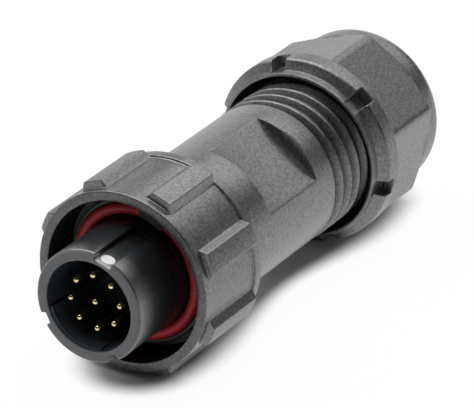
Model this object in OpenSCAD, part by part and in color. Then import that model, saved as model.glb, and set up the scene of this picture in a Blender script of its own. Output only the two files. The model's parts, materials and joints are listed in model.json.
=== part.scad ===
// Sealed circular cable connector, pin side, lying on its side.
// Millimetres. +X is the mating direction, +Z is up, and Z = 0 is the surface that it lies on.
// Pieces are drawn on stations: distances behind the nose rim along the connector's axis.

/* [Nose] */
// Outside diameter of the nose
nose_d = 17.4; // [16.4:0.1:18.4]
// Bore of the nose round the pins
nose_bore_d = 14; // [13.4:0.1:14.6]
// Length of the nose that enters the mate
nose_len = 11.6; // [10:0.1:14]
// Chamfer at the rim of the nose
rim_chamfer = 0.3; // [0.1:0.1:0.5]
// Depth from the rim to the insulator's face
bore_depth = 11; // [8:0.5:13]
// Width of the wide keyway
key_w = 3.1; // [2.4:0.1:4]
// Width of the two narrow keyways
side_key_w = 2; // [1.4:0.1:2.6]
// Depth of the keyways
key_depth = 1.05; // [0.6:0.05:1.1]
// Angle from the wide keyway to each narrow one
side_key_angle = 135; // [110:5:150]
// Clock angle of the wide keyway, from the top towards +Y
key_clock = 18; // [0:1:45]
// Height of the ledge along one side of the bore
ledge_h = 0.35; // [0.2:0.05:0.6]
// Angle that the ledge spans
ledge_angle = 88; // [40:2:120]
// Diameter of the index dot
dot_d = 1.9; // [1.2:0.1:2.3]

/* [Contacts] */
// Contacts on the circle, beside the one in the middle
pin_count = 8; // [6:1:8]
// Diameter of the circle of contacts
pin_circle_d = 8.26; // [7.6:0.02:8.8]
// Diameter of a pin
pin_d = 1; // [0.8:0.05:1.2]
// Diameter of a contact behind its shoulder
pin_body_d = 1.6; // [1.4:0.05:1.8]
// Depth of the pin tips behind the rim
pin_recess = 1.5; // [0.5:0.1:3]
// Length of a solder cup
cup_len = 4.5; // [3:0.1:5]
// Wall of a solder cup
cup_wall = 0.25; // [0.2:0.05:0.35]
// Length of the insulator
insulator_len = 9; // [7:0.5:10]
// Length of the lock ring behind the insulator
lock_len = 1.8; // [1.2:0.1:2.5]
// Radial width of the lock ring
lock_w = 1.2; // [0.8:0.1:1.6]

/* [Seals] */
// Section of the red interface seal
seal_section = 1.7; // [1.4:0.02:2]
// Length of the land between the nose and the seal flange
seal_land_len = 1.6; // [1.4:0.1:2.4]
// Section of the seal between the two shells
shell_seal_section = 1.06; // [0.9:0.02:1.2]
// Length of the cable grommet
gland_seal_len = 7.5; // [5:0.5:8]
// Diameter of the cable that the grommet takes
cable_d = 11.5; // [9:0.5:12]

/* [Coupling ring] */
// Setback of the ring's front behind the nose rim
ring_setback = 8.9; // [7:0.1:10]
// Diameter of the ring between its ribs
ring_d = 28; // [27:0.1:29]
// Bore of the ring's mouth
ring_mouth_d = 25; // [24:0.1:25.6]
// Number of ribs
rib_count = 8; // [4:1:10]
// Height of the ribs
rib_h = 1.2; // [0.8:0.1:1.6]
// Width of a rib at its top
rib_top_w = 3.1; // [2:0.1:4]
// Width of a rib at its foot
rib_foot_w = 4.6; // [3.6:0.1:5.6]
// Setback of the ribs behind the ring's front
rib_setback = 1.5; // [0.8:0.1:2.5]
// Length of the inner web that runs on the hub
web_len = 2.5; // [2:0.1:3.5]
// Length of the skirt behind the web
skirt_len = 6.5; // [5:0.1:7.5]
// Height of the bead round the ring's rear end
bead_h = 0.35; // [0.2:0.05:0.8]
// Length of the bead
bead_len = 2.4; // [1.5:0.1:3]
// Bevel at the bead's rear edge
bead_bevel = 0.8; // [0.4:0.1:1.2]
// Number of bayonet lugs
lug_count = 2; // [2:1:4]
// Reach of a lug into the mouth
lug_reach = 1.2; // [0.8:0.1:1.8]
// Width of a lug
lug_w = 3.9; // [3:0.1:5]
// Length of a lug
lug_len = 2.2; // [1.5:0.1:3]
// Clock angle of the first lug
lug_clock = 23.5; // [0:0.5:90]

/* [Back shell] */
// Outside diameter of the back shell
body_d = 22.8; // [22.4:0.1:23.6]
// Length of the back shell ahead of its thread
body_len = 32.2; // [30:0.1:36]
// Distance across the spanner flats
flat_across = 18.8; // [18:0.1:20]
// Distance from the shell's front end to the flats
flat_offset = 13.9; // [12:0.1:15]
// Length of the flats
flat_len = 13.6; // [10:0.1:15]
// Clock angle of the first flat
flat_clock = 37; // [0:1:90]
// Bore of the wire space
cavity_d = 15.2; // [14:0.1:16]
// Length of the rear thread
thread_len = 15.5; // [14:0.1:17]
// Pitch of the rear thread
pitch = 2.6; // [2:0.1:3]
// Diameter over the thread's crests
thread_d = 23.1; // [22.6:0.1:23.4]
// Depth of the thread
thread_depth = 0.95; // [0.6:0.05:1.2]
// Width of a crest
crest_w = 0.35; // [0.2:0.05:0.6]
// Diameter of the grommet's bore in the shell
gland_bore_d = 18.2; // [17.6:0.1:18.8]
// Depth of that bore
gland_bore_len = 11.5; // [10:0.1:13]

/* [Gland nut] */
// Exposed thread between the back shell and the nut
nut_gap = 8; // [5:0.1:9]
// Length of the nut
nut_len = 22.9; // [21:0.1:25]
// Diameter of the notched collar
collar_d = 29.6; // [29.5:0.1:31]
// Outside diameter of the pilot lip
pilot_d = 26.5; // [26.4:0.1:27.6]
// Length of the pilot lip
pilot_len = 1.45; // [1:0.05:2.2]
// How far the collar's front face slopes back from the pilot lip to its edge
face_rake = 0.8; // [0.2:0.1:1.2]
// Bore of the nut's mouth
mouth_d = 25.5; // [25:0.1:26]
// Depth of the mouth
mouth_depth = 3.3; // [2:0.1:3.4]
// Distance across the nut's flats
hex_across = 25.5; // [24.6:0.1:25.6]
// Distance from the nut's front to its flats
hex_offset = 5; // [4.6:0.1:6]
// Clock angle of the first flat
hex_clock = 42; // [30:1:60]
// Length over which the hexagon's corners turn down to the round rear
corner_run = 1.4; // [1:0.1:3]
// Length of the round rear behind the flats
rear_len = 5; // [4:0.1:6.5]
// Height of the round rear above the flats
rear_rise = 0.12; // [0.06:0.02:0.4]
// Radius of the rounded rear edge
dome_r = 3; // [2:0.1:3.8]
// Width of a spanner notch
notch_w = 2.6; // [2:0.1:3.4]
// Length of a spanner notch behind the collar's edge
notch_len = 1.8; // [1:0.1:2.4]
// Clock angle of the first notch
notch_clock = 42; // [30:1:60]
// Diameter of the cable hole
cable_hole_d = 12.6; // [12.2:0.1:13.4]
// Length of the cable hole
cable_hole_len = 3; // [2:0.1:4]
// Turns that the nut can be tightened or slackened from rest
nut_turns = 1; // [0.5:0.25:1]

/* [Hidden] */
$fn = 96;
eps = 0.01;
// How far a cutter runs past the surface that it cuts
over = 1;
// Clearances: seated pieces, running shaft and thread, free end play, and free air
seat_gap = 0.05;
seal_gap = 0.02;
run_gap = 0.1;
end_play = 0.3;
air_gap = 0.3;
// Walls and steps that carry one piece on another
insert_step = 0.55;
land_step = 0.2;
tail_wall = 2;
hub_step = 0.6;
flange_step = 1.1;
flange_web = 1.1;
tail_grip = 8.7;
shell_groove_inset = 2.9;
socket_relief = 0.5;
pin_shoulder_depth = 3;
cup_floor = 1.1;
cup_lip = 2.2;
lock_slot_w = 1.6;
lug_setback = 0.3;
ledge_setback = 0.5;
ledge_from_key = 192;
key_land = 0.4;
dot_inlay = 0.15;
dot_setback = 1.7;
edge_break = 0.25;
flank_run = 0.7;
first_crest = 1.6;
follower_flange_len = 1.5;
rear_ramp = 0.5;
notch_setback = 0.4;
notch_bite = 0.2;
nut_cone_w = 1.5;
hole_round = 0.6;

// Radii from the bore outwards
nose_r = nose_d / 2;
land_r = nose_r + land_step;
insert_r = nose_bore_d / 2 + insert_step;
insert_bore_r = insert_r + seat_gap;
tail_r = insert_bore_r + tail_wall;
hub_r = tail_r + hub_step;
flange_r = hub_r + flange_step;
socket_r = tail_r + seat_gap;
body_r = body_d / 2;
ring_r = ring_d / 2;
rib_r = ring_r + rib_h;
thread_r = thread_d / 2;
root_r = thread_r - thread_depth;
gland_bore_r = gland_bore_d / 2;
nut_bore_r = thread_r + run_gap;
flat_r = hex_across / 2;
corner_r = flat_r / cos(30);
collar_r = collar_d / 2;
follower_flange_r = nut_bore_r - air_gap;
cable_hole_r = cable_hole_d / 2;
seal_pitch_r = land_r + seal_section / 2 + seal_gap;
shell_groove_r = socket_r - shell_seal_section - 2 * seal_gap;

// Stations from the nose rim backwards
flange_s = nose_len + seal_land_len;
hub_s = flange_s + seal_section / 2 + seal_gap + flange_web;
web_s = hub_s + end_play;
skirt_s = web_s + web_len;
shell_s = skirt_s + end_play;
ring_end_s = skirt_s + skirt_len;
tail_end_s = shell_s + tail_grip;
shell_groove_s = shell_s + shell_groove_inset;
insulator_end_s = bore_depth + insulator_len;
thread_s = shell_s + body_len;
shell_end_s = thread_s + thread_len;
gland_seat_s = shell_end_s - gland_bore_len;
nut_s = thread_s + nut_gap;
nut_end_s = nut_s + nut_len;
rear_s = nut_end_s - rear_len;
travel = pitch * nut_turns;
follower_s = gland_seat_s + gland_seal_len + travel + air_gap;
follower_flange_s = shell_end_s + travel + air_gap;
nut_shoulder_s = follower_flange_s + follower_flange_len + seat_gap;

// Clock angle of each rib, and how far the lowest rib corner reaches below the axis
function rib_clock(i) = 360 / rib_count * (i + 0.5);
rib_half_angle = asin(rib_top_w / 2 / rib_r);
rib_low = max([for (i = [0 : rib_count - 1], side = [-1, 1])
    -rib_r * cos(rib_clock(i) + side * rib_half_angle)]);

// Height of the axis above the surface, and X of the nose rim
axis_z = max(collar_r, rib_low);
rim_x = nut_end_s / 2;

plastic = "#3a3b3d";
gloss_plastic = "#1c1d1f";
red_rubber = "#b3202c";
black_rubber = "#26272a";
gilt = "#cfae62";

// Stands a piece drawn on stations along the connector's axis, local X upwards
module place() translate([rim_x, 0, axis_z]) rotate([0, -90, 0]) children();

// Turned form from a profile of [radius, station] points
module turned(profile) rotate_extrude() polygon(profile);

// Plain tube between two stations
module tube(outer_r, inner_r, from_s, to_s) {
    turned([[inner_r, from_s], [outer_r, from_s], [outer_r, to_s], [inner_r, to_s]]);
}

// Straight groove along the nose from its rim, cut down to the keyway floor
module keyway(clock, width) {
    floor_r = nose_r - key_depth;
    rotate([0, 0, clock]) translate([floor_r, -width / 2, -eps])
        cube([key_depth + over, width, nose_len - key_land + eps]);
}

// Place of a contact: the last one is in the middle
module at_contact(i) {
    on_circle = i <= pin_count;
    clock = key_clock + 360 / pin_count * (i - 0.5);
    rotate([0, 0, clock]) translate([on_circle ? pin_circle_d / 2 : 0, 0, 0]) children();
}

// One ridge of the thread, a ring with sloped flanks, sunk a little into the core
module ridge(top_s) {
    foot_r = root_r - crest_w;
    foot_half = crest_w / 2 + flank_run;
    turned([
        [foot_r, top_s - foot_half], [root_r, top_s - foot_half], [thread_r, top_s - crest_w / 2],
        [thread_r, top_s + crest_w / 2], [root_r, top_s + foot_half], [foot_r, top_s + foot_half]
    ]);
}

module nose_shell() color(gloss_plastic) place() {
    bore_r = nose_bore_d / 2;
    groove_out_r = land_r + seal_section + 2 * seal_gap;
    groove_s = flange_s + seal_section / 2 + seal_gap;
    groove_half = shell_seal_section / 2 + seal_gap;
    difference() {
        turned([
            [bore_r, 0], [nose_r - rim_chamfer, 0], [nose_r, rim_chamfer], [nose_r, nose_len],
            [land_r, nose_len], [land_r, groove_s], [groove_out_r, groove_s], [groove_out_r, flange_s],
            [flange_r - edge_break, flange_s], [flange_r, flange_s + edge_break], [flange_r, hub_s],
            [hub_r, hub_s], [hub_r, shell_s], [tail_r, shell_s],
            [tail_r, shell_groove_s - groove_half], [shell_groove_r, shell_groove_s - groove_half],
            [shell_groove_r, shell_groove_s + groove_half], [tail_r, shell_groove_s + groove_half],
            [tail_r, tail_end_s], [insert_bore_r, tail_end_s],
            [insert_bore_r, bore_depth], [bore_r, bore_depth]
        ]);
        keyway(key_clock, key_w);
        for (side = [-1, 1]) keyway(key_clock + side * side_key_angle, side_key_w);
        rotate([0, 0, key_clock]) translate([nose_r - key_depth - dot_inlay, 0, dot_setback])
            rotate([0, 90, 0]) cylinder(d = dot_d, h = key_depth);
    }
    bore_ledge();
}

// Shallow ledge along the inside of the bore, opposite the wide keyway
module bore_ledge() {
    bore_r = nose_bore_d / 2;
    start = key_clock + ledge_from_key - ledge_angle / 2;
    rotate([0, 0, start]) rotate_extrude(angle = ledge_angle) polygon([
        [bore_r - ledge_h, ledge_setback], [bore_r + ledge_h, ledge_setback],
        [bore_r + ledge_h, bore_depth - ledge_setback], [bore_r - ledge_h, bore_depth - ledge_setback]
    ]);
}

module index_dot() color("white") place()
    rotate([0, 0, key_clock]) translate([nose_r - key_depth - dot_inlay, 0, dot_setback])
        rotate([0, 90, 0]) cylinder(d = dot_d - 2 * seal_gap, h = dot_inlay);

module pin_insulator() color(gloss_plastic) place() difference() {
    translate([0, 0, bore_depth]) cylinder(r = insert_r, h = insulator_len);
    for (i = [1 : pin_count + 1]) at_contact(i) {
        translate([0, 0, bore_depth - eps]) cylinder(d = pin_d + 2 * seat_gap, h = insulator_len);
        translate([0, 0, bore_depth + pin_shoulder_depth])
            cylinder(d = pin_body_d + 2 * seat_gap, h = insulator_len);
    }
}

module insulator_lock_ring() color(plastic) place() difference() {
    tube(insert_r, insert_r - lock_w, insulator_end_s, insulator_end_s + lock_len);
    for (side = [0, 180]) rotate([0, 0, side])
        translate([0, -lock_slot_w / 2, insulator_end_s + lock_len / 2])
            cube([insert_r + over, lock_slot_w, lock_len]);
}

module contact_pin(i) color(gilt) place() at_contact(i) {
    shoulder_s = bore_depth + pin_shoulder_depth;
    cup_s = insulator_end_s;
    cup_end_s = cup_s + cup_len;
    cup_bore_d = pin_body_d - 2 * cup_wall;
    translate([0, 0, pin_recess + pin_d / 2]) {
        sphere(d = pin_d);
        cylinder(d = pin_d, h = shoulder_s - pin_recess - pin_d / 2 + eps);
    }
    difference() {
        translate([0, 0, shoulder_s]) cylinder(d = pin_body_d, h = cup_end_s - shoulder_s);
        translate([0, 0, cup_s + cup_floor]) cylinder(d = cup_bore_d, h = cup_len);
        translate([0, -pin_body_d, cup_s + cup_lip]) cube([pin_body_d, 2 * pin_body_d, cup_len]);
    }
}

module interface_seal() color(red_rubber) place()
    rotate_extrude() translate([seal_pitch_r, flange_s]) circle(d = seal_section);

module shell_seal() color(black_rubber) place()
    rotate_extrude() translate([socket_r - seal_gap - shell_seal_section / 2, shell_groove_s])
        circle(d = shell_seal_section);

module coupling_ring() color(plastic) place() {
    mouth_r = ring_mouth_d / 2;
    web_bore_r = hub_r + run_gap;
    skirt_bore_r = body_r + air_gap;
    bead_r = ring_r + bead_h;
    bead_s = ring_end_s - bead_len;
    turned([
        [mouth_r, ring_setback], [ring_r - edge_break, ring_setback], [ring_r, ring_setback + edge_break],
        [ring_r, bead_s], [bead_r, bead_s], [bead_r, ring_end_s - bead_bevel],
        [bead_r - bead_bevel, ring_end_s],
        [skirt_bore_r, ring_end_s], [skirt_bore_r, skirt_s], [web_bore_r, skirt_s],
        [web_bore_r, web_s], [mouth_r, web_s]
    ]);
    for (i = [0 : rib_count - 1]) rotate([0, 0, rib_clock(i)]) rib(bead_s);
    for (i = [0 : lug_count - 1]) rotate([0, 0, lug_clock + 360 / lug_count * i]) lug(mouth_r);
}

// Grip rib with sloped sides, from behind the ring's front to the rear bead
module rib(end_s) {
    start_s = ring_setback + rib_setback;
    top_x = sqrt(rib_r * rib_r - rib_top_w * rib_top_w / 4);
    foot_x = sqrt(ring_r * ring_r - rib_foot_w * rib_foot_w / 4);
    root_x = ring_r - rib_h / 2;
    translate([0, 0, start_s]) linear_extrude(end_s - start_s) polygon([
        [root_x, -rib_foot_w / 2], [foot_x, -rib_foot_w / 2], [top_x, -rib_top_w / 2],
        [top_x, rib_top_w / 2], [foot_x, rib_foot_w / 2], [root_x, rib_foot_w / 2]
    ]);
}

// Bayonet lug inside the ring's mouth
module lug(mouth_r) translate([0, 0, ring_setback + lug_setback]) intersection() {
    translate([0, -lug_w / 2, 0]) cube([ring_r, lug_w, lug_len]);
    tube((mouth_r + ring_r) / 2, mouth_r - lug_reach, 0, lug_len);
}

module back_shell() color(plastic) place() {
    cavity_r = cavity_d / 2;
    socket_end_s = tail_end_s + socket_relief;
    crest_s = thread_s + first_crest;
    last_crest = floor((shell_end_s - crest_s - crest_w / 2 - flank_run) / pitch);
    difference() {
        union() {
            turned([
                [socket_r, shell_s], [body_r - edge_break, shell_s], [body_r, shell_s + edge_break],
                [body_r, thread_s - edge_break], [body_r - edge_break, thread_s], [root_r, thread_s],
                [root_r, shell_end_s], [gland_bore_r, shell_end_s], [gland_bore_r, gland_seat_s],
                [cavity_r, gland_seat_s], [cavity_r, socket_end_s], [socket_r, socket_end_s]
            ]);
            for (i = [0 : last_crest]) ridge(crest_s + pitch * i);
        }
        for (side = [0, 180]) rotate([0, 0, flat_clock + side])
            translate([flat_across / 2, -body_r, shell_s + flat_offset])
                cube([body_r, 2 * body_r, flat_len]);
    }
}

module gland_seal() color(black_rubber) place()
    tube(gland_bore_r - seat_gap, cable_d / 2, gland_seat_s, gland_seat_s + gland_seal_len);

module gland_follower() color(plastic) place() turned([
    [cable_hole_r, follower_s], [gland_bore_r - run_gap, follower_s],
    [gland_bore_r - run_gap, follower_flange_s], [follower_flange_r, follower_flange_s],
    [follower_flange_r, follower_flange_s + follower_flange_len],
    [cable_hole_r, follower_flange_s + follower_flange_len]
]);

module gland_nut() color(plastic) place() {
    mouth_r = mouth_d / 2;
    pilot_r = pilot_d / 2;
    face_s = nut_s + pilot_len;
    edge_s = face_s + face_rake;
    flats_s = nut_s + hex_offset;
    mouth_s = nut_s + mouth_depth;
    notch_s = nut_s + notch_setback;
    hole_s = nut_end_s - cable_hole_len;
    difference() {
        union() {
            turned([
                [0, nut_s], [pilot_r, nut_s], [pilot_r, face_s], [collar_r - edge_break, edge_s],
                [collar_r, edge_s + edge_break], [collar_r, flats_s], [0, flats_s]
            ]);
            nut_hexagon(flats_s - over);
            nut_rear();
        }
        for (i = [0 : 5]) rotate([0, 0, notch_clock + 60 * i])
            translate([pilot_r - notch_bite, -notch_w / 2, notch_s])
                cube([collar_r, notch_w, edge_s + notch_len - notch_s]);
        turned([
            [0, nut_s - eps], [mouth_r, nut_s - eps], [mouth_r, mouth_s],
            [nut_bore_r, mouth_s + mouth_r - nut_bore_r], [nut_bore_r, nut_shoulder_s],
            [nut_bore_r - nut_cone_w, nut_shoulder_s], [cable_hole_r, hole_s],
            [cable_hole_r, nut_end_s - hole_round], [cable_hole_r + hole_round, nut_end_s + eps],
            [0, nut_end_s + eps]
        ]);
    }
}

// Hexagon of the nut, its corners turned down into the round rear
module nut_hexagon(from_s) intersection() {
    turned([
        [0, from_s], [collar_r, from_s], [collar_r, rear_s - corner_run], [flat_r, rear_s], [0, rear_s]
    ]);
    translate([0, 0, from_s]) rotate([0, 0, hex_clock + 30])
        cylinder(r = corner_r, h = nut_end_s - from_s, $fn = 6);
}

// Round rear of the nut, which rises out of the flats on a short ramp and ends in a rounded edge
module nut_rear() {
    rear_r = flat_r + rear_rise;
    ramp_s = rear_s - rear_ramp;
    dome_s = nut_end_s - dome_r;
    turned([
        [0, ramp_s], [flat_r - rear_rise, ramp_s], [rear_r, rear_s], [rear_r, dome_s], [0, dome_s]
    ]);
    translate([0, 0, dome_s]) {
        cylinder(r = rear_r - dome_r, h = dome_r);
        rotate_extrude() translate([rear_r - dome_r, 0]) circle(r = dome_r);
    }
}

nose_shell();
pin_insulator();
insulator_lock_ring();
for (i = [1 : pin_count + 1]) contact_pin(i);
index_dot();
interface_seal();
coupling_ring();
shell_seal();
back_shell();
gland_seal();
gland_follower();
gland_nut();
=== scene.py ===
import json
import math

import bpy
import numpy as np
from mathutils import Matrix, Vector


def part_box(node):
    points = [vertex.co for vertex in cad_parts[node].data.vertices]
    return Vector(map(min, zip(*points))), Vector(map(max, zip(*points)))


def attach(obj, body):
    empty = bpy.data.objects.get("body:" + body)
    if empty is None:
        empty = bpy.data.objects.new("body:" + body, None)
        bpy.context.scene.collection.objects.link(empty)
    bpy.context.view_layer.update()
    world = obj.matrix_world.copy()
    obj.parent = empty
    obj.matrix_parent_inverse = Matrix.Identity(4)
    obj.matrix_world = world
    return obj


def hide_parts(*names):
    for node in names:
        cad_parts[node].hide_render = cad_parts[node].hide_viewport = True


# Circular connector lying on its side. Sizes are in millimetres, and a station is the distance
# behind the nose rim along the connector's axis. A clock angle runs from the top towards +Y.
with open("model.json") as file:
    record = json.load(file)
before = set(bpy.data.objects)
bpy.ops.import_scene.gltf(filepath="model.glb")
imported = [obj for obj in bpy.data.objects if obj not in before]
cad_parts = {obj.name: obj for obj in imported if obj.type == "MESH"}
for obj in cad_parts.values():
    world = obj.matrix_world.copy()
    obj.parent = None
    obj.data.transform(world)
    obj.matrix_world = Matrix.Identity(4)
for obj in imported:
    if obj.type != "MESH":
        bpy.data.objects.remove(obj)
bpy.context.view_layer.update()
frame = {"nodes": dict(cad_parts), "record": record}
nodes = frame["nodes"]
print("frame loaded with", len(nodes), "nodes")

mm = 0.001
noseLow, noseHigh = (np.array(corner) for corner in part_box("nose_shell"))
rimX = noseHigh[0]                                  # station 0
axisZ = (noseLow[2] + noseHigh[2]) / 2
creaseAngle = 38                                    # degrees past which an edge is shaded sharp
columnGap = 0.02                                    # degrees, the closest that two columns come


# Stations of a CAD node's front and rear
def span(node):
    low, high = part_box(node)
    return (rimX - high[0]) / mm, (rimX - low[0]) / mm


ringFront, ringRear = span("coupling_ring")
shellFront, shellRear = span("back_shell")
nutFront, nutRear = span("gland_nut")


# Tools for surfaces

# An open line keeps its ends and each corner between them becomes a circle arc: a rational quadratic
# curve from radius * tan(half turn) before the corner to as far behind it, weighted cos(half turn).
def roundedLine(corners, radius, steps=4):
    p = np.asarray(corners, float)
    before, after = p[1:-1] - p[:-2], p[2:] - p[1:-1]
    beforeLen = np.linalg.norm(before, axis=1, keepdims=True)
    afterLen = np.linalg.norm(after, axis=1, keepdims=True)
    before, after = before / beforeLen, after / afterLen
    half = np.arccos(np.clip((before * after).sum(1, keepdims=True), -1, 1)) / 2
    longest = 0.45 * np.minimum(beforeLen, afterLen)    # so that two arcs never meet on a leg
    reach = np.minimum(np.reshape(radius, (-1, 1)) * np.tan(half), longest)
    t = np.linspace(0, 1, steps + 1)[None, :, None]
    first, last = (1 - t) ** 2, t ** 2
    middle = 2 * np.cos(half)[:, :, None] * t * (1 - t)
    ends = first * (p[1:-1] - before * reach)[:, None] + last * (p[1:-1] + after * reach)[:, None]
    arcs = (ends + middle * p[1:-1, None]) / (first + last + middle)
    return np.vstack([p[:1], arcs.reshape(-1, 2), p[-1:]])


# A share that is 1 from low to high and 0 on both sides, with steep walls and rounded corners
def raised(start, low, high, end, wall, radius):
    return roundedLine([(start, 0), (low - wall, 0), (low + wall, 1), (high - wall, 1), (high + wall, 0),
                        (end, 0)], radius)


# The same over half a width, from its middle to a margin outside it
def halfRaised(width, margin, wall, radius):
    half = width / 2
    return roundedLine([(0, 1), (half - wall, 1), (half + wall, 0), (half + margin, 0)], radius)


# Signed angle in degrees from the nearest of several evenly spaced clock angles
def fromNearest(clock, first, count):
    pitch = 360 / count
    return (clock - first + pitch / 2) % pitch - pitch / 2


# Columns of a surface: an even spread of clock angles, joined by the angles where a feature has an edge
def clockColumns(evenCount, *features):
    angles = [np.arange(evenCount) * 360 / evenCount]
    for first, count, offsets in features:
        copies = first + np.arange(count)[:, None] * 360 / count
        angles.append((copies + np.asarray(offsets)[None]).ravel())
    angles = np.unique(np.round(np.concatenate(angles) % 360, 3))
    return angles[np.diff(angles, append=angles[0] + 360) > columnGap][None]


# Smaller of two heights with a soft edge: a mix by a share that crosses from 0 to 1 over the band,
# lowered by band * share * (1 - share)
def softMin(a, b, band):
    share = np.clip(0.5 + 0.5 * (b - a) / band, 0, 1)
    return b + (a - b) * share - band * share * (1 - share)


# Larger of the two in the same way: the smaller of their negatives, turned back
def softMax(a, b, band):
    return -softMin(-a, -b, band)


# The signed volume of the faces' fans about the origin tells which way they point
def outward(points, quads):
    a, b, c, d = (points[quads[:, k]] for k in range(4))
    fans = np.einsum("ij,ij->i", a, np.cross(b, c)) + np.einsum("ij,ij->i", a, np.cross(c, d))
    return quads if fans.sum() > 0 else quads[:, ::-1]


# A grid of points, rows by columns, becomes a piece whose quads close both ways
def gridPiece(name, grid):
    index = np.arange(grid[..., 0].size).reshape(grid.shape[:2])
    nextRow = np.roll(index, -1, axis=0)
    quads = np.stack([index, np.roll(index, -1, 1), np.roll(nextRow, -1, 1), nextRow], axis=-1)
    points, quads = grid.reshape(-1, 3), quads.reshape(-1, 4)
    mesh = bpy.data.meshes.new(name)
    mesh.from_pydata(points, [], outward(points, quads))
    mesh.polygons.foreach_set("use_smooth", np.ones(len(quads), bool))
    mesh.set_sharp_from_angle(angle=math.radians(creaseAngle))
    mesh.update()
    piece = bpy.data.objects.new(name, mesh)
    bpy.context.scene.collection.objects.link(piece)
    print("piece", name, "has", 2 * len(quads), "triangles")
    return piece


# A round piece: rows follow its closed section and columns go round the axis, with y = radius * sin(clock)
# and z = radius * cos(clock). Radius and station may change with row and column.
def turnedPiece(name, radius, station, clock):
    turn = np.radians(clock)
    x = rimX - station * mm
    y = radius * np.sin(turn) * mm
    z = axisZ + radius * np.cos(turn) * mm
    return gridPiece(name, np.stack(np.broadcast_arrays(x, y, z), axis=-1))


# Shader maths

# One socket of a node tree, with the operators that add Math nodes
class Wire:
    def __init__(self, tree, socket=None):
        self.tree = tree
        self.socket = socket

    def add(self, kind, settings, sockets, output=0):
        node = self.tree.nodes.new(kind)
        for key, value in settings.items():
            if key == "stops":
                setStops(node.color_ramp, value)
            else:
                setattr(node, key, value)
        for key, value in sockets.items():
            if isinstance(value, Wire):
                self.tree.links.new(value.socket, node.inputs[key])
            else:
                node.inputs[key].default_value = value
        return Wire(self.tree, node.outputs[output])

    def maths(self, operation, first, second):
        return self.add("ShaderNodeMath", {"operation": operation}, {0: first, 1: second})

    def __add__(self, other):
        return self.maths("ADD", self, other)

    def __radd__(self, other):
        return self.maths("ADD", other, self)

    def __sub__(self, other):
        return self.maths("SUBTRACT", self, other)

    def __rsub__(self, other):
        return self.maths("SUBTRACT", other, self)

    def __mul__(self, other):
        return self.maths("MULTIPLY", self, other)

    def __rmul__(self, other):
        return self.maths("MULTIPLY", other, self)

    def __truediv__(self, other):
        return self.maths("DIVIDE", self, other)

    def __rtruediv__(self, other):
        return self.maths("DIVIDE", other, self)


# Grey stops of a colour ramp, each a position and a value
def setStops(colours, stops):
    for element, (position, value) in zip(colours.elements, stops):
        element.position, element.color = position, (value, value, value, 1)


# A new finish: its shader with the constants set, and the place on the piece in millimetres
def newFinish(name, constants):
    material = bpy.data.materials.new(name)
    material.use_nodes = True
    tree = material.node_tree
    shader = tree.nodes["Principled BSDF"]
    for socket, value in constants.items():
        shader.inputs[socket].default_value = value
    here = Wire(tree).add("ShaderNodeTexCoord", {}, {}, "Object")
    place = here.add("ShaderNodeVectorMath", {"operation": "SCALE"}, {0: here, "Scale": 1 / mm})
    return material, shader, place


# Vector maths on a wire and a second wire or three numbers
def vectors(operation, first, second, output=0):
    return first.add("ShaderNodeVectorMath", {"operation": operation}, {0: first, 1: second}, output)


# Cloudy noise, with its scale per millimetre
def noise(place, scale, detail, rough=0.5):
    return place.add("ShaderNodeTexNoise", {},
                     {"Vector": place, "Scale": scale, "Detail": detail, "Roughness": rough})


# A share that rises from 0 at the low value to 1 at the high one
def levels(value, low, high):
    return value.add("ShaderNodeValToRGB", {"stops": ((low, 0), (high, 1))}, {"Fac": value})


# The same between any two numbers, also downwards
def ramp(value, start, end):
    return value.add("ShaderNodeMapRange", {}, {"Value": value, "From Min": start, "From Max": end})


# Colour from the first to the second, each three numbers or a wire, as the share goes from 0 to 1
def blend(share, first, second):
    a, b = (end if isinstance(end, Wire) else (*end, 1) for end in (first, second))
    return share.add("ShaderNodeMix", {"data_type": "RGBA"}, {"Factor": share, "A": a, "B": b}, "Result")


def feed(shader, socket, wire):
    wire.tree.links.new(wire.socket, shader.inputs[socket])


# Bump of a height, with its depth in millimetres
def emboss(height, strength, depth):
    return height.add("ShaderNodeBump", {},
                      {"Height": height, "Strength": strength, "Distance": depth * mm}, "Normal")


# Distance from the connector's axis
def fromAxis(place):
    across = vectors("MULTIPLY", vectors("SUBTRACT", place, (0, 0, axisZ / mm)), (0, 1, 1))
    return place.add("ShaderNodeVectorMath", {"operation": "LENGTH"}, {0: across}, "Value")


# A share that is 1 ahead of a station and fades to 0 behind it
def aheadOf(place, station, fade):
    along = place.add("ShaderNodeSeparateXYZ", {}, {"Vector": place}, "X")
    return ramp(along, rimX / mm - station - fade, rimX / mm - station)


# Finishes

dustLook = {"colour": (0.62, 0.62, 0.60), "perMm": 0.26, "size": (0.034, 0.022)}


# A few specks of dust: the places very near the points of a sparse random scatter
def dustOn(place):
    away = place.add("ShaderNodeTexVoronoi", {}, {"Vector": place, "Scale": dustLook["perMm"]}, "Distance")
    return ramp(away, *dustLook["size"])


# In every look a noise is scale, detail and roughness, and a bump is strength and depth. A change along the
# axis is a station and its fade, and a change across it is two radii.
shellLook = {
    "fixed": {"Specular IOR Level": 0.3, "Coat Roughness": 0.36, "Coat IOR": 2.5},
    "dark": (0.006, 0.006, 0.0065), "light": (0.066, 0.066, 0.068),
    "grain": (2.5, 1.5, 0.5), "bump": (1.0, 0.07), "specks": (0.36, 0.66), "speckShare": 0.7,
    "cloud": (0.45, 4, 0.6), "clouds": (0.34, 0.68), "cloudShare": 0.3,
    "rough": 0.44, "roughSwing": 0.16, "sheen": 0.66, "speckSheen": 0.34,
    # The ring's front face, its mouth and the thread's grooves take painted shade, with its strengths on the
    # line after them
    "face": (ringFront + 0.1, 0.1), "mouth": (13.0, 12.7), "mouthEnd": (ringRear - 6.5, 0.2),
    "groove": (11.4, 10.75), "threadFront": (shellRear - 15.5, 0.1), "threadRear": (shellRear, 0.1),
    "facePaintedShade": 0.5, "groovePaintedShade": 0.8, "paintedShadeColour": 0.7, "paintedShadeSheen": 0.85,
}
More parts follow.
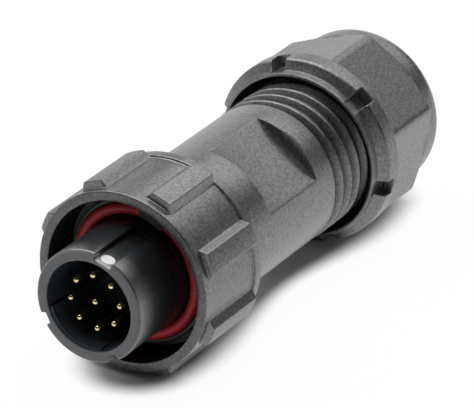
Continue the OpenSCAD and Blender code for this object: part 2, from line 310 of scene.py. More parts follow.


# Filled plastic with a fine matt skin: pale fibre specks over a slow cloud of darker and lighter resin.
# Painted shade darkens the ring's front face, the inside of its mouth and the thread's grooves, and cuts
# their sheen.
def shellPlastic():
    k = shellLook
    material, shader, place = newFinish("shellPlastic", k["fixed"])
    grain = noise(place, *k["grain"])
    speck = levels(grain, *k["specks"])
    cloud = levels(noise(place, *k["cloud"]), *k["clouds"])
    out = fromAxis(place)
    face = aheadOf(place, *k["face"])
    mouth = ramp(out, *k["mouth"]) * aheadOf(place, *k["mouthEnd"]) * (1 - face)
    thread = aheadOf(place, *k["threadRear"]) * (1 - aheadOf(place, *k["threadFront"]))
    # Painted shade: darker colour and less sheen on the ring's front face, in its mouth and in the thread's
    # grooves
    paintedShade = mouth + face * k["facePaintedShade"] + ramp(out, *k["groove"]) * thread * k["groovePaintedShade"]
    pale = (speck * k["speckShare"] + cloud * k["cloudShare"]) * (1 - paintedShade * k["paintedShadeColour"])
    dust = dustOn(place)
    sheen = (k["sheen"] + speck * k["speckSheen"]) * (1 - paintedShade * k["paintedShadeSheen"]) * (1 - dust)
    feed(shader, "Base Color", blend(dust, blend(pale, k["dark"], k["light"]), dustLook["colour"]))
    feed(shader, "Roughness", k["rough"] + (speck - 0.5) * k["roughSwing"])
    feed(shader, "Coat Weight", sheen)
    feed(shader, "Normal", emboss(grain, *k["bump"]))
    return material


noseLook = {
    "fixed": {"Specular IOR Level": 0.35, "Coat Roughness": 0.30, "Coat IOR": 2.3},
    "skin": (0.008, 0.010, 0.012), "scuffsAndPaintedHighlight": (0.028, 0.031, 0.034),
    # The rim colour is painted light, a light grey on the rim's front face
    "rim": (0.170, 0.175, 0.181), "deep": (0.036, 0.043, 0.052),
    "ripple": (2.2, 2), "bump": (1.0, 0.05), "mottle": (2.5, 3, 0.7), "rimShare": 0.75, "mottleShare": 0.5,
    "scuff": (3.0, 3, 0.6), "scuffs": (0.42, 0.72), "scuffShare": 0.4, "paintedHighlightShare": 0.6,
    "rough": 0.30, "scuffRough": 0.14, "rippleRough": 0.1, "rimRough": 0.2,
    "rimEdge": (0.12, 0.12), "paintedHighlightAndSheen": (0.8, 3.4), "glossEnd": (11.0, 0.4), "bore": (7.1, 7.3),
    "sheen": 0.22, "nearRimSheen": 0.68, "scuffSheen": 0.2,
}


# Smoother black plastic, glossy where the mate rubs over the nose and glossier by its rim, and dull in the
# recesses behind it and in its bore. Painted light greys the rim's front face and pales the bore, and extra
# pale scuffs by the rim are a painted highlight.
def nosePlastic(name):
    k = noseLook
    material, shader, place = newFinish(name, k["fixed"])
    ripple = noise(place, *k["ripple"])
    scuff = levels(noise(place, *k["scuff"]), *k["scuffs"])
    # Painted light on the rim's front face, which is also rougher and has no coat
    rim = aheadOf(place, *k["rimEdge"])
    # Painted highlight near the rim: paler scuffs there, fading behind it, along with more real sheen
    paintedHighlightAndSheen = aheadOf(place, *k["paintedHighlightAndSheen"])
    outside = ramp(fromAxis(place), *k["bore"])
    gloss = aheadOf(place, *k["glossEnd"]) * outside
    # Pale scuffs all over, with more of them near the rim as a painted highlight
    scuffsAndPaintedHighlight = scuff * (k["scuffShare"] + paintedHighlightAndSheen * k["paintedHighlightShare"])
    # Painted light: the deep colour, paler than the skin, fills the bore and the insulator in it
    skin = blend(outside, k["deep"], blend(scuffsAndPaintedHighlight, k["skin"], k["scuffsAndPaintedHighlight"]))
    # Share of the painted light grey on the rim's front face, mottled
    mottled = rim * (k["rimShare"] + noise(place, *k["mottle"]) * k["mottleShare"])
    sheen = k["sheen"] + paintedHighlightAndSheen * k["nearRimSheen"] - scuff * k["scuffSheen"]
    rough = k["rough"] + scuff * k["scuffRough"] + ripple * k["rippleRough"] + rim * k["rimRough"]
    feed(shader, "Base Color", blend(mottled, skin, k["rim"]))
    feed(shader, "Roughness", rough)
    feed(shader, "Coat Weight", gloss * sheen * (1 - rim))
    feed(shader, "Normal", emboss(ripple, *k["bump"]))
    return material


sealLook = {
    "deep": (0.50, 0.018, 0.030), "bright": (0.66, 0.034, 0.050), "cloud": (1.4, 3),
    "powder": (6.0, 2), "powders": (0.62, 0.74), "bump": (0.2, 0.01), "rough": 0.5, "powderRough": 0.2,
}


# Red silicone, slightly clouded, with a fine dull powder
def redRubber():
    k = sealLook
    material, shader, place = newFinish("redRubber", {"Specular IOR Level": 0.5})
    powder = levels(noise(place, *k["powder"]), *k["powders"])
    feed(shader, "Base Color", blend(noise(place, *k["cloud"]), k["deep"], k["bright"]))
    feed(shader, "Roughness", k["rough"] + powder * k["powderRough"])
    feed(shader, "Normal", emboss(powder, *k["bump"]))
    return material


rubberLook = {
    "dark": (0.012, 0.012, 0.013), "light": (0.030, 0.030, 0.031), "bloom": (1.1, 3), "pores": (5.0, 2),
    "bump": (0.25, 0.01), "rough": 0.6, "bloomRough": 0.2,
}


# Black sealing rubber with a pale bloom and fine pores
def blackRubber():
    k = rubberLook
    material, shader, place = newFinish("blackRubber", {"Specular IOR Level": 0.4})
    bloom = noise(place, *k["bloom"])
    feed(shader, "Base Color", blend(bloom, k["dark"], k["light"]))
    feed(shader, "Roughness", k["rough"] + bloom * k["bloomRough"])
    feed(shader, "Normal", emboss(noise(place, *k["pores"]), *k["bump"]))
    return material


gildLook = {
    "gold": (0.92, 0.77, 0.46), "shaftDark": (0.22, 0.15, 0.07), "bright": 0.7, "wear": (2.5, 2),
    "shaftShare": 0.7, "wearShare": 0.3, "rough": 0.2, "shaftRough": 0.2, "wearRough": 0.06,
}


# Gold on the contact's rounded tip, turning darker brown and duller along its shaft behind it
def gilding():
    k = gildLook
    material, shader, place = newFinish("gilding", {"Metallic": 1.0})
    tip = span("contact_pin_1")[0]
    thin = 1 - aheadOf(place, tip + k["bright"], k["bright"])
    wear = noise(place, *k["wear"])
    # Darker, duller brown along the shaft behind the tip, varied by a noise
    shaftDark = thin * (k["shaftShare"] + wear * k["wearShare"])
    feed(shader, "Base Color", blend(shaftDark, k["gold"], k["shaftDark"]))
    feed(shader, "Roughness", k["rough"] + thin * k["shaftRough"] + wear * k["wearRough"])
    return material


paintLook = {
    "thin": (0.78, 0.79, 0.80), "thick": (0.92, 0.92, 0.91), "coat": (2.2, 3), "bump": (0.3, 0.03),
    "rough": 0.35, "coatRough": 0.2,
}


# White paint of uneven thickness
def whitePaint():
    k = paintLook
    material, shader, place = newFinish("whitePaint", {"Specular IOR Level": 0.5})
    coat = noise(place, *k["coat"])
    feed(shader, "Base Color", blend(coat, k["thin"], k["thick"]))
    feed(shader, "Roughness", k["rough"] + coat * k["coatRough"])
    feed(shader, "Normal", emboss(coat, *k["bump"]))
    return material


finishes = {
    "shell_plastic": shellPlastic(),
    "nose_plastic": nosePlastic("nosePlastic"),
    # The insulator stands in the bore, so it takes the bore's painted light all over
    "insulator_plastic": nosePlastic("insulatorPlastic"),
    "red_rubber": redRubber(),
    "black_rubber": blackRubber(),
    "gilt": gilding(),
    "dot_paint": whitePaint(),
}
print("finishes made:", len(finishes))


# A finished piece gets its finish, rides on its body and stands for its CAD nodes
def dress(piece, slot, body, *standsFor):
    piece.data.materials.append(finishes[slot])
    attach(piece, body)
    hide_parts(*standsFor)


# Coupling ring

ring = {
    "front": ringFront, "rear": ringRear, "valley": 14.0, "mouth": 12.5,
    "ribs": 8, "firstRib": 22.5, "ribHeight": 1.2, "ribTop": 3.1, "ribFoot": 4.6,
    "ribFront": ringFront + 1.5, "ribRunIn": ringFront + 0.8,
    "bead": 14.35, "beadFront": ringRear - 2.4, "bevel": 0.8,
    "web": (ringRear - 9.0, ringRear - 6.5), "webBore": 10.3, "skirtBore": 11.7,
    "lugs": 2, "firstLug": 23.5, "lugWidth": 3.9, "lugReach": 1.2,
    "lugSpan": (ringFront + 0.3, ringFront + 2.5), "mouthEnd": ringRear - 10.0,
    "edge": 0.22, "ribEnd": 0.16, "lugSide": 0.15, "lugEnd": 0.12, "mouthEdge": 0.15, "innerEdge": 0.2,
    "frontFace": 0.5, "mouthFace": 0.4, "rearFace": 0.6, "margin": 1.0, "wall": 0.03, "columns": 144,
}


# Radius over station and clock: the turned line, plus a rib's height across it times its share along it.
# In the mouth it is the bore, less the lugs' reach worked out in the same way.
def ringPiece():
    k = ring
    wall, edge, mouthEnd = k["wall"], k["edge"], k["mouthEnd"]
    webFront, webRear = k["web"]
    ribSide = roundedLine([(0, k["ribHeight"]), (k["ribTop"] / 2, k["ribHeight"]), (k["ribFoot"] / 2, 0),
                           (k["ribFoot"] / 2 + k["margin"], 0)], edge)
    ribRun = raised(k["ribRunIn"], k["ribFront"], k["beadFront"], k["rear"], wall, k["ribEnd"])
    lugSide = halfRaised(k["lugWidth"], k["margin"], wall, k["lugSide"])
    lugRun = raised(k["front"], *k["lugSpan"], webFront, wall, k["lugEnd"])
    ribDegrees = np.degrees(ribSide[:, 0] / (k["valley"] + ribSide[:, 1]))
    lugDegrees = np.degrees(lugSide[:, 0] / (k["mouth"] - lugSide[:, 1] * k["lugReach"]))
    clock = clockColumns(k["columns"], (k["firstRib"], k["ribs"], np.r_[-ribDegrees, ribDegrees]),
                         (k["firstLug"], k["lugs"], np.r_[-lugDegrees, lugDegrees]))

    # Outside, raised by the ribs
    line = roundedLine([(k["front"], k["mouth"] + k["frontFace"]), (k["front"] + wall, k["valley"]),
                        (k["beadFront"] - wall, k["valley"]), (k["beadFront"] + wall, k["bead"]),
                        (k["rear"] - k["bevel"], k["bead"]), (k["rear"] - wall, k["bead"] - k["bevel"]),
                        (k["rear"], k["skirtBore"] + k["rearFace"])], edge)
    outS = np.unique(np.r_[line[:, 0], ribRun[:, 0]])[:, None]
    rib = np.interp(np.abs(fromNearest(clock, k["firstRib"], k["ribs"])), ribDegrees, ribSide[:, 1])
    outR = np.interp(outS, *line.T) + rib * np.interp(outS, *ribRun.T)

    # Inside: rear face, skirt and web, then the mouth with its lugs
    inner = roundedLine([(k["skirtBore"] + k["rearFace"], k["rear"]), (k["skirtBore"], k["rear"]),
                         (k["skirtBore"], webRear), (k["webBore"], webRear), (k["webBore"], webFront),
                         (k["mouth"], webFront), (k["mouth"], mouthEnd)], k["innerEdge"])
    mouthLine = roundedLine([(k["front"], k["mouth"] + k["mouthFace"]), (k["front"] + wall, k["mouth"]),
                             (mouthEnd, k["mouth"])], k["mouthEdge"])
    mouthS = np.unique(np.r_[mouthLine[:, 0], lugRun[:, 0]])
    mouthS = mouthS[mouthS < mouthEnd][::-1, None]
    lug = np.interp(np.abs(fromNearest(clock, k["firstLug"], k["lugs"])), lugDegrees, lugSide[:, 1])
    mouthR = np.interp(mouthS, *mouthLine.T) - k["lugReach"] * lug * np.interp(mouthS, *lugRun.T)

    radius = np.vstack([outR, inner[1:, :1] * np.ones_like(clock), mouthR])
    station = np.vstack([outS, inner[1:, 1:], mouthS])
    return turnedPiece("couplingRingSkin", radius, station, clock)


dress(ringPiece(), "shell_plastic", "ring", "coupling_ring")


# Nose shell

nose = {
    "radius": 8.7, "bore": 7.0, "chamfer": 0.3, "frontFace": 0.5, "boreFace": 0.4,
    "land": 8.9, "landSlope": (11.5, 11.8), "landEnd": 12.1,
    "keyFloor": 7.65, "keyEnd": 11.2, "keyMargin": 0.6, "keyReach": 40.0, "leadRun": 0.5,
    "keys": ((18.0, 3.1, 0.25), (153.0, 2.0, 0.0), (-117.0, 2.0, 0.0)),   # clock, width and lead-in bevel
    "ledge": (166.0, 254.0), "ledgeHeight": 0.35, "ledgeSpan": (0.5, 10.5), "ledgeSide": 0.4,
    "groove": (14.07, 10.64), "flange": (13.2, 15.17, 11.3), "hub": (shellFront, 10.2),
    "tail": (shellFront + 8.7, 9.6), "sealGroove": (shellFront + 2.35, shellFront + 3.45, 8.55),
    "seat": (11.0, 7.6), "boreEnd": 10.7,
    "edge": 0.12, "noseEdge": 0.3, "keyEdge": 0.15, "boreEdge": 0.15, "ledgeEdge": 0.1, "wall": 0.025,
    "leadRows": (0.1, 0.2, 0.4, 0.6, 1.0), "columns": 160,
}


# Radius over station and clock: the turned line, taken down to a flat keyway floor, floor / cos(angle), by
# each keyway's share across it times its share along it
def nosePiece():
    k = nose
    wall, edge, landEnd, boreEnd = k["wall"], k["edge"], k["landEnd"], k["boreEnd"]
    slopeFrom, slopeTo = k["landSlope"]
    sides = [halfRaised(width, k["keyMargin"], wall, edge) for _, width, _ in k["keys"]]
    degrees = [np.degrees(side[:, 0] / k["radius"]) for side in sides]
    lowEnd, highEnd = k["ledge"]
    ledgeSides = (-k["ledgeSide"], k["ledgeSide"])
    keyColumns = [(angle, 1, np.r_[-d, d]) for (angle, _, _), d in zip(k["keys"], degrees)]
    clock = clockColumns(k["columns"], *keyColumns, (lowEnd, 1, ledgeSides), (highEnd, 1, ledgeSides))

    # Outside, with a bevelled lead-in on the wide keyway
    line = roundedLine([(0, k["bore"] + k["frontFace"]), (wall, k["radius"] - k["chamfer"]),
                        (k["chamfer"], k["radius"]), (slopeFrom, k["radius"]), (slopeTo, k["land"]),
                        (landEnd, k["land"])], k["noseEdge"])
    keyRun = roundedLine([(0, 1), (k["keyEnd"] - wall, 1), (k["keyEnd"] + wall, 0), (landEnd, 0)],
                         k["keyEdge"])
    outS = np.unique(np.r_[line[:, 0], keyRun[:, 0], k["leadRows"]])[:, None]
    outR = np.interp(outS, *line.T) * np.ones_like(clock)
    for (angle, _, lead), side, d in zip(k["keys"], sides, degrees):
        away = fromNearest(clock, angle, 1)
        share = np.interp(np.abs(away), d, side[:, 1]) * np.interp(outS, *keyRun.T)
        bevelled = k["keyFloor"] - lead * np.clip(1 - outS / k["leadRun"], 0, 1)
        floor = bevelled / np.cos(np.radians(np.clip(away, -k["keyReach"], k["keyReach"])))
        outR = outR - share * np.maximum(outR - floor, 0)

    # Behind the nose: land, seal groove, flange, hub and tail, then the bore back to the seat
    faceS, backS, flangeR = k["flange"]
    grooveS, grooveR = k["groove"]
    hubS, hubR = k["hub"]
    tailS, tailR = k["tail"]
    sealFrom, sealTo, sealR = k["sealGroove"]
    seatS, seatR = k["seat"]
    back = roundedLine([(k["land"], landEnd), (k["land"], grooveS), (grooveR, grooveS), (grooveR, faceS),
                        (flangeR, faceS), (flangeR, backS), (hubR, backS), (hubR, hubS), (tailR, hubS),
                        (tailR, sealFrom), (sealR, sealFrom), (sealR, sealTo), (tailR, sealTo),
                        (tailR, tailS), (seatR, tailS), (seatR, seatS), (k["bore"], seatS),
                        (k["bore"], boreEnd)], edge, 3)

    # Bore, with the shallow ledge along part of it
    boreLine = roundedLine([(0, k["bore"] + k["boreFace"]), (wall, k["bore"]), (boreEnd, k["bore"])],
                           k["boreEdge"])
    ledgeRun = raised(0, *k["ledgeSpan"], seatS, wall, k["ledgeEdge"])
    boreS = np.unique(np.r_[boreLine[:, 0], ledgeRun[:, 0]])
    boreS = boreS[(boreS > 0) & (boreS < boreEnd)][::-1, None]
    onLedge = np.clip((clock - lowEnd) / k["ledgeSide"] + 0.5, 0, 1)
    onLedge = onLedge * np.clip((highEnd - clock) / k["ledgeSide"] + 0.5, 0, 1)
    boreR = np.interp(boreS, *boreLine.T) - k["ledgeHeight"] * onLedge * np.interp(boreS, *ledgeRun.T)

    radius = np.vstack([outR, back[1:, :1] * np.ones_like(clock), boreR])
    station = np.vstack([outS, back[1:, 1:], boreS])
    return turnedPiece("noseSkin", radius, station, clock)


dress(nosePiece(), "nose_plastic", "plug", "nose_shell")


# Back shell with its spanner flats and helical rear thread

shell = {
    "front": shellFront, "radius": 11.4, "threadFrom": shellRear - 15.5, "rear": shellRear, "faces": 0.5,
    "flats": 37.0, "flatDistance": 9.4, "flatSpan": (shellFront + 13.9, shellFront + 27.5), "clear": 14.0,
    "flatColumns": (-1.01, -1, -0.99, 0.99, 1, 1.01), "flatReach": 75.0, "flatLimit": shellRear - 16.0,
    "wallHeight": 1.5, "wallTop": (0.6, 0.1), "wallRun": 1.0, "wallRows": 14,   # the wall behind the flat
    "flatCorners": (0.15, 0.15, 0.1, 0.5, 0.1, 0.1), "flatBlend": 0.06, "wallBlend": 0.25,
    "socket": 9.65, "socketEnd": shellFront + 9.2, "cavity": 7.6,
    "glandSeat": shellRear - 11.5, "glandBore": 9.1,
    "crest": 11.55, "root": 10.6, "pitch": 2.6, "firstCrest": 51.76, "crestWidth": 0.35, "flank": 0.7,
    "crestEdge": 0.12, "runIn": 0.15, "runOut": 0.3, "runFade": 0.4,
    "edge": 0.22, "innerEdge": 0.2, "wall": 0.03, "columns": 180, "threadRows": 190,
}


# Radius over station and clock: the smaller of the turned line and the flats, distance / cos(angle), plus a
# thread ridge
def shellPiece():
    k = shell
    wall, edge, far, flatR = k["wall"], k["edge"], k["clear"], k["flatDistance"]
    flatFrom, flatTo = k["flatSpan"]
    reach = np.degrees(np.arccos(flatR / k["radius"]))
    clock = clockColumns(k["columns"], (k["flats"], 2, reach * np.array(k["flatColumns"])))
    line = roundedLine([(k["front"], k["socket"] + k["faces"]), (k["front"] + wall, k["radius"]),
                        (k["threadFrom"] - wall, k["radius"]), (k["threadFrom"] + wall, k["root"]),
                        (k["rear"] - wall, k["root"]), (k["rear"], k["glandBore"] + k["faces"])], edge)
    # Distance of the flats from the axis, with a steep wall behind them that rounds over to the body
    roundS, roundR = flatTo + k["wallTop"][0], k["radius"] + k["wallTop"][1]
    wallEnd = flatTo + k["wallRun"]
    cut = roundedLine([(k["front"], far), (flatFrom - wall, far), (flatFrom + wall, flatR),
                       (flatTo - wall, flatR), (flatTo + wall, flatR + k["wallHeight"]), (roundS, roundR),
                       (wallEnd, far), (k["rear"], far)], k["flatCorners"])
    threadS = np.linspace(k["threadFrom"] + 0.1, k["rear"] - 0.1, k["threadRows"])
    wallS = np.linspace(flatTo, wallEnd, k["wallRows"])
    outS = np.unique(np.r_[line[:, 0], cut[:, 0], wallS, threadS])[:, None]
    away = np.radians(np.clip(fromNearest(clock, k["flats"], 2), -k["flatReach"], k["flatReach"]))
    turned = np.interp(outS, *line.T) * np.ones_like(clock)
    flats = np.interp(outS, *cut.T) / np.cos(away)
    band = np.where(outS < flatTo, k["flatBlend"], k["wallBlend"])
    outR = np.where(outS < k["flatLimit"], softMin(turned, flats, band), turned)

    # Thread: a ridge whose crest moves back one pitch for each turn of the clock, fading in at both ends
    turns = (outS - k["firstCrest"]) / k["pitch"] - clock / 360
    fromCrest = np.abs((turns + 0.5) % 1 - 0.5) * k["pitch"]
    halfCrest = k["crestWidth"] / 2
    ridge = roundedLine([(0, 1), (halfCrest, 1), (halfCrest + k["flank"], 0), (k["pitch"], 0)],
                        k["crestEdge"])
    fade = np.clip((outS - k["threadFrom"] - k["runIn"]) / k["runFade"], 0, 1)
    fade = fade * np.clip((k["rear"] - k["runOut"] - outS) / k["runFade"], 0, 1)
    outR = outR + (k["crest"] - k["root"]) * fade * np.interp(fromCrest, *ridge.T)

    inner = roundedLine([(k["glandBore"] + k["faces"], k["rear"]), (k["glandBore"], k["rear"]),
                         (k["glandBore"], k["glandSeat"]), (k["cavity"], k["glandSeat"]),
                         (k["cavity"], k["socketEnd"]), (k["socket"], k["socketEnd"]),
                         (k["socket"], k["front"]), (k["socket"] + k["faces"], k["front"])], k["innerEdge"])
    radius = np.vstack([outR, inner[1:-1, :1] * np.ones_like(clock)])
    station = np.vstack([outS, inner[1:-1, 1:]])
    return turnedPiece("backShellSkin", radius, station, clock)


dress(shellPiece(), "shell_plastic", "plug", "back_shell")


# Gland nut

nut = {
    "front": nutFront, "rear": nutRear, "mouth": 12.75, "mouthEnd": nutFront + 3.3, "mouthFace": 0.25,
    "pilot": 13.25, "face": nutFront + 1.45, "collarEdge": nutFront + 2.25, "collar": 14.8, "bevel": 0.25,
    "hexFrom": nutFront + 5.0, "hexTo": nutRear - 5.0, "flat": 12.75, "firstFlat": 42.0, "cornerRun": 1.4,
    "clear": 17.0, "rearRadius": 12.87, "rearRamp": 0.5, "rampDip": 0.4, "dome": 3.0, "domeRows": 24,
    "under": (8.0, 5.0), "underRun": 0.5,                             # where a line keeps out of the way
    "flatRows": (nutFront + 6.0, nutRear - 6.9, 8), "shoulderRows": (nutRear - 6.8, nutRear - 4.4, 30),
    "cornerColumns": (-1.6, -0.9, -0.4, 0, 0.4, 0.9, 1.6),
    "firstNotch": 42.0, "notchWidth": 2.6, "notchFloor": 12.85,
    "notchSpan": (nutFront + 0.4, nutFront + 4.05),
    "bore": 11.65, "shoulder": nutRear - 10.95, "coneTop": 10.15,
    "hole": 6.3, "holeFrom": nutRear - 3.0, "holeRound": 0.6,
    "corners": (0.18, 0.1, 0.18, 0.18, 0.5, 0.1, 0.1),
    "notchSide": 0.12, "notchEnd": 0.1, "hexWall": 0.12, "innerEdge": 0.2, "margin": 1.0,
    "cornerBlend": 0.8, "collarBlend": 0.2, "rearBlend": 0.5, "wall": 0.03, "columns": 300,
}


# Radius over station and clock: the smaller of the turned line and the hexagon, distance / cos(angle) of the
# two nearest flats, then the larger of that and the round rear, then the notches down to their floors
def nutPiece():
    k = nut
    wall, shoulderS = k["wall"], k["hexTo"] - k["cornerRun"]
    under, underRear = k["under"]
    notchSide = halfRaised(k["notchWidth"], k["margin"], wall, k["notchSide"])
    notchDegrees = np.degrees(notchSide[:, 0] / k["collar"])
    clock = clockColumns(k["columns"], (k["firstNotch"], 6, np.r_[-notchDegrees, notchDegrees]),
                         (k["firstFlat"] + 30, 6, k["cornerColumns"]))

    # Turned outside: pilot, sloped face and collar, then a shoulder that takes the corners down to the rear
    # and falls away under it
    line = roundedLine([(k["front"], k["mouth"] + k["mouthFace"]), (k["front"] + wall, k["pilot"]),
                        (k["face"], k["pilot"]), (k["collarEdge"], k["collar"] - k["bevel"]),
                        (k["collarEdge"] + k["bevel"], k["collar"]), (shoulderS, k["collar"]),
                        (k["hexTo"], k["flat"]), (k["hexTo"] + k["underRun"], under),
                        (k["rear"], underRear)], k["corners"])
    # Round rear: a ramp out of the flats, then a quarter circle over the edge
    bend = np.linspace(0, 1, k["domeRows"])[:, None] * np.pi / 2
    over = np.hstack([k["rear"] - k["dome"] + k["dome"] * np.sin(bend),
                      k["rearRadius"] + k["dome"] * (np.cos(bend) - 1)])
    rear = np.vstack([[(k["front"], under), (k["hexTo"] - 2 * k["rearRamp"], k["flat"] - k["rampDip"]),
                       (k["hexTo"], k["rearRadius"])], over])
    # Distance of the six flats from the axis at each station: none ahead of the hexagon's front wall
    hexLine = roundedLine([(k["front"], k["clear"]), (k["hexFrom"] - wall, k["clear"]),
                           (k["hexFrom"] + wall, k["flat"]), (k["rear"], k["flat"])], k["hexWall"])
    notchRun = raised(k["front"], *k["notchSpan"], k["rear"], wall, k["notchEnd"])
    outS = np.unique(np.r_[line[:, 0], rear[:, 0], hexLine[:, 0], notchRun[:, 0],
                           np.linspace(*k["flatRows"]), np.linspace(*k["shoulderRows"])])[:, None]
    away = np.radians(fromNearest(clock, k["firstFlat"], 6))
    flats = np.interp(outS, *hexLine.T)
    hexR = softMin(flats / np.cos(away), flats / np.cos(np.pi / 3 - np.abs(away)), k["cornerBlend"])
    outR = softMin(np.interp(outS, *line.T) * np.ones_like(clock), hexR, k["collarBlend"])
    outR = softMax(outR, np.interp(outS, *rear.T), k["rearBlend"])
    awayNotch = fromNearest(clock, k["firstNotch"], 6)
    notch = np.interp(np.abs(awayNotch), notchDegrees, notchSide[:, 1]) * np.interp(outS, *notchRun.T)
    outR = outR - notch * np.maximum(outR - k["notchFloor"] / np.cos(np.radians(awayNotch)), 0)

    inner = roundedLine([(k["rearRadius"] - k["dome"], k["rear"]), (k["hole"] + k["holeRound"], k["rear"]),
                         (k["hole"], k["rear"] - k["holeRound"]), (k["hole"], k["holeFrom"]),
                         (k["coneTop"], k["shoulder"]), (k["bore"], k["shoulder"]),
                         (k["bore"], k["mouthEnd"] + k["mouth"] - k["bore"]), (k["mouth"], k["mouthEnd"]),
                         (k["mouth"], k["front"]), (k["mouth"] + k["mouthFace"], k["front"])],
                        k["innerEdge"])
    radius = np.vstack([outR, inner[1:-1, :1] * np.ones_like(clock)])
    station = np.vstack([outS, inner[1:-1, 1:]])
    return turnedPiece("glandNutSkin", radius, station, clock)


dress(nutPiece(), "shell_plastic", "nut", "gland_nut")


# Red seal

seal = {"centre": 9.77, "section": 1.7, "station": 13.2, "rows": 28, "columns": 180}


# A ring of round section: a circle of rows carried round the axis
def sealPiece():
    k = seal
    roll = np.arange(k["rows"])[:, None] * 2 * np.pi / k["rows"]
    clock = clockColumns(k["columns"])
    radius = k["centre"] + k["section"] / 2 * np.cos(roll) * np.ones_like(clock)
    return turnedPiece("redSeal", radius, k["station"] + k["section"] / 2 * np.sin(roll), clock)


dress(sealPiece(), "red_rubber", "plug", "interface_seal")


# Index dot

dot = {
    "clock": 18.0, "floor": 7.65, "station": sum(span("index_dot")) / 2, "radius": 1.08, "height": 0.06,
    "side": 0.3, "flat": 0.75, "sunk": 0.12, "middle": 0.001, "edge": 0.05, "columns": 48,
}


# A low dome of paint on the keyway floor: its section turned about the floor's normal, with a tiny flat at
# each end that closes the rows
def dotPiece():
    k = dot
    section = roundedLine([(k["middle"], -k["sunk"]), (k["radius"], -k["sunk"]),
                           (k["radius"], k["height"] * k["side"]), (k["radius"] * k["flat"], k["height"]),
                           (k["middle"], k["height"])], k["edge"])
    turn = np.arange(k["columns"]) * 2 * np.pi / k["columns"]
    along = k["station"] + section[:, :1] * np.cos(turn)
    across = section[:, :1] * np.sin(turn)
    height = k["floor"] + section[:, 1:] + 0 * across
    clock = math.radians(k["clock"])
    y = height * math.sin(clock) + across * math.cos(clock)
    z = height * math.cos(clock) - across * math.sin(clock)
    return gridPiece("indexDotPaint", np.stack([rimX - along * mm, y * mm, axisZ + z * mm], axis=-1))


dress(dotPiece(), "dot_paint", "plug", "index_dot")


# CAD nodes whose shape is right keep it and take their finish

for entry in frame["record"]["subparts"]:
    node = nodes[entry["node"]]
    node.data.materials.clear()
    node.data.materials.append(finishes[entry["material_slot"]])
print("CAD nodes dressed")


# Floor, light and camera

stage = {
    "floorSize": 6.0, "paper": (0.90, 0.90, 0.90, 1), "paperRough": 0.9, "white": (1, 1, 1, 1), "glow": 0.97,
    "line": (27.8, -38.0), "feet": (21.0, -29.0), "reach": 9.8, "swing": 2.0, "dimShare": 0.5,
    "world": (0.03, 0.03, 0.03, 1),
}


# Share of plain white on the floor: the distance from a line under the axis, over a reach that follows a
# cosine wave and is furthest beside the ring and the nut, which stand on the floor
def floorWhite(here):
    k = stage
    front, behind = k["line"]
    ringFoot, nutFoot = k["feet"]
    onLine = vectors("MAXIMUM", vectors("MINIMUM", here, (front, 0, 0)), (behind, 0, 0))
    onLine = vectors("MULTIPLY", onLine, (1, 0, 0))
    away = vectors("DISTANCE", here, onLine, "Value")
    along = here.add("ShaderNodeSeparateXYZ", {}, {"Vector": onLine}, "X")
    wave = along.maths("COSINE", (along - ringFoot) * (2 * math.pi / (ringFoot - nutFoot)), 0)
    share = away / (k["reach"] + wave * k["swing"])
    return share.add("ShaderNodeMapRange", {"interpolation_type": "SMOOTHSTEP"},
                     {"Value": share, "From Min": k["dimShare"], "From Max": 1.0})


# Paper that, seen directly or in a reflection, is plain white away from the part and keeps its shadow by it
def floorPiece():
    k = stage
    half = k["floorSize"] / 2
    corners = [(-half, -half, 0), (half, -half, 0), (half, half, 0), (-half, half, 0)]
    mesh = bpy.data.meshes.new("floor")
    mesh.from_pydata(corners, [], [(0, 1, 2, 3)])
    floor = bpy.data.objects.new("floor", mesh)
    bpy.context.scene.collection.objects.link(floor)
    material, shader, here = newFinish("floorPaper", {
        "Base Color": k["paper"], "Roughness": k["paperRough"], "Specular IOR Level": 0.0})
    tree = material.node_tree
    seen = here.add("ShaderNodeLightPath", {}, {}, "Is Camera Ray")
    mirrored = here.add("ShaderNodeLightPath", {}, {}, "Is Glossy Ray")
    white = here.add("ShaderNodeEmission", {}, {"Color": k["white"], "Strength": 1.0})
    paper = Wire(tree, shader.outputs["BSDF"])
    share = (seen + mirrored) * floorWhite(here) * k["glow"]
    mixed = here.add("ShaderNodeMixShader", {}, {"Fac": share, 1: paper, 2: white})
    tree.links.new(mixed.socket, tree.nodes["Material Output"].inputs["Surface"])
    mesh.materials.append(material)


# White to the camera and dim to everything else
def whiteWorld():
    world = bpy.data.worlds.new("studio")
    bpy.context.scene.world = world
    world.use_nodes = True
    tree = world.node_tree
    seen = Wire(tree).add("ShaderNodeLightPath", {}, {}, "Is Camera Ray")
    colour = seen.add("ShaderNodeMix", {"data_type": "RGBA"},
                      {"Factor": seen, "A": stage["world"], "B": stage["white"]}, "Result")
    feed(tree.nodes["Background"], "Color", colour)


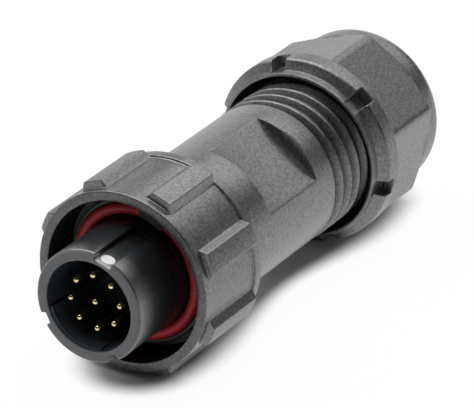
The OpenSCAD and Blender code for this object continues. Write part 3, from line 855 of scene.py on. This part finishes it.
# Softboxes: bearing from +X towards +Y and height above the table in degrees, both seen from the part,
# then width and height in metres, and power
lampDistance = 0.6                                  # metres from the middle of the axis
lamps = {
    "top": {"bearing": 300, "height": 80, "size": (0.45, 0.45), "watts": 2.1},
    "back": {"bearing": 180, "height": 54, "size": (0.45, 0.45), "watts": 1.0},
    "left": {"bearing": 270, "height": 52, "size": (0.45, 0.45), "watts": 1.75},
    "topRight": {"bearing": 110, "height": 65, "size": (0.40, 0.40), "watts": 0.23},
    "backRight": {"bearing": 155, "height": 34, "size": (0.30, 0.22), "watts": 0.14},
    "lowLeft": {"bearing": 270, "height": 14, "size": (0.50, 0.26), "watts": 0.25},
    "lowBack": {"bearing": 210, "height": 14, "size": (0.50, 0.26), "watts": 0.42},
    "lowRight": {"bearing": 120, "height": 10, "size": (0.50, 0.20), "watts": 0.15},
}


# The way to a lamp is cos(height) * cos(bearing), cos(height) * sin(bearing) and sin(height)
def addLamps():
    middle = Vector((0, 0, axisZ))
    for name, k in lamps.items():
        light = bpy.data.lights.new(name, "AREA")
        light.shape = "RECTANGLE"
        light.size, light.size_y = k["size"]
        light.energy = k["watts"]
        bearing, height = math.radians(k["bearing"]), math.radians(k["height"])
        flat = math.cos(height)
        way = Vector((flat * math.cos(bearing), flat * math.sin(bearing), math.sin(height)))
        lamp = bpy.data.objects.new(name, light)
        lamp.location = middle + way * lampDistance
        lamp.rotation_euler = (-way).to_track_quat("-Z", "Y").to_euler()
        bpy.context.scene.collection.objects.link(lamp)


# The photograph's camera, found from the nose rim: nearly parallel view lines
view = {
    "azimuth": 120.742, "elevation": 25.622, "fieldOfView": 6.0,
    "distance": 636.42, "right": 20.952, "up": 14.487,
}


# The camera stands back from the rim's centre by the distance, moved right and up in its own view
def addCamera():
    k = view
    turn, tilt = math.radians(k["azimuth"]), math.radians(k["elevation"])
    back = Vector((math.sin(turn) * math.cos(tilt), -math.cos(turn) * math.cos(tilt), math.sin(tilt)))
    right = Vector((0, 0, 1)).cross(back).normalized()
    up = back.cross(right)
    where = Vector((rimX, 0, axisZ)) + (back * k["distance"] + right * k["right"] + up * k["up"]) * mm
    lens = bpy.data.cameras.new("camera")
    lens.sensor_fit = "HORIZONTAL"
    lens.angle = math.radians(k["fieldOfView"])
    lens.clip_start = 0.01
    camera = bpy.data.objects.new("camera", lens)
    camera.matrix_world = Matrix.Translation(where) @ Matrix((right, up, back)).transposed().to_4x4()
    bpy.context.scene.collection.objects.link(camera)
    bpy.context.scene.camera = camera


floorPiece()
whiteWorld()
addLamps()
addCamera()
bpy.context.scene.view_settings.view_transform = "Standard"
print("stage set")
